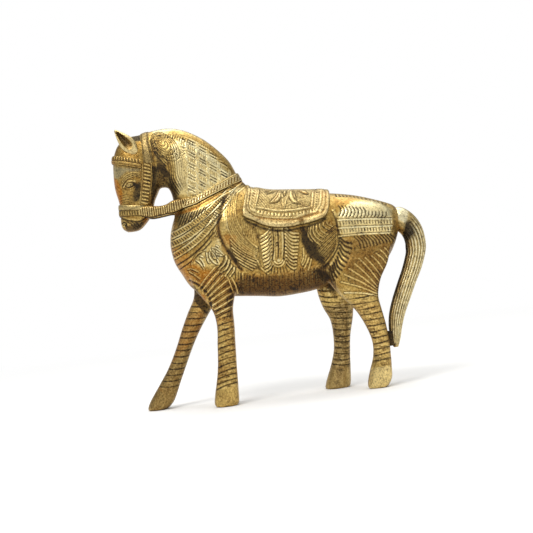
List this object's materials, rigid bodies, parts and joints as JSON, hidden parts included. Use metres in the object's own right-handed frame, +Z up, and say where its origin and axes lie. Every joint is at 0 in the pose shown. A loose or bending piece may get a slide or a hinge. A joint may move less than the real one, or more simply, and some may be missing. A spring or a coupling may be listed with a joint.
{
  "type": "brass horse statue",
  "caption": "Standing horse figure in engraved antique brass with saddle, bridle and reins, stepping forward; it stands free on its hooves.",
  "frame": {"origin": "on the ground under the middle of the statue's box", "axes": "+X towards the tail and the horse looks along -X, +Y towards its far (right) side, +Z up"},
  "size_m": [0.2147, 0.0566, 0.2016],
  "materials": {
    "chased_brass": "antique cast brass, chased all over, dark patina in the cuts and rubbed bright on the high spots",
    "dark_brass": "the same brass with more patina left on it, legs of the far side",
    "bright_brass": "polished brass, rubbed bright, on saddle, ears and tail",
    "strip_brass": "strip brass with punched rows and plain polished borders"
  },
  "bodies": {
    "root": {"near_body_shell": "chased_brass", "far_body_shell": "chased_brass", "near_neck_shell": "chased_brass", "far_neck_shell": "chased_brass", "head": "chased_brass", "near_ear": "bright_brass", "far_ear": "bright_brass", "near_foreleg": "chased_brass", "far_foreleg": "dark_brass", "near_hind_leg": "chased_brass", "far_hind_leg": "dark_brass", "tail": "bright_brass", "saddle": "bright_brass", "crown_strap": "strip_brass", "browband": "strip_brass", "near_cheek_strap": "strip_brass", "far_cheek_strap": "strip_brass", "noseband": "strip_brass", "near_rein": "strip_brass", "far_rein": "strip_brass"}
  },
  "joints": []
}
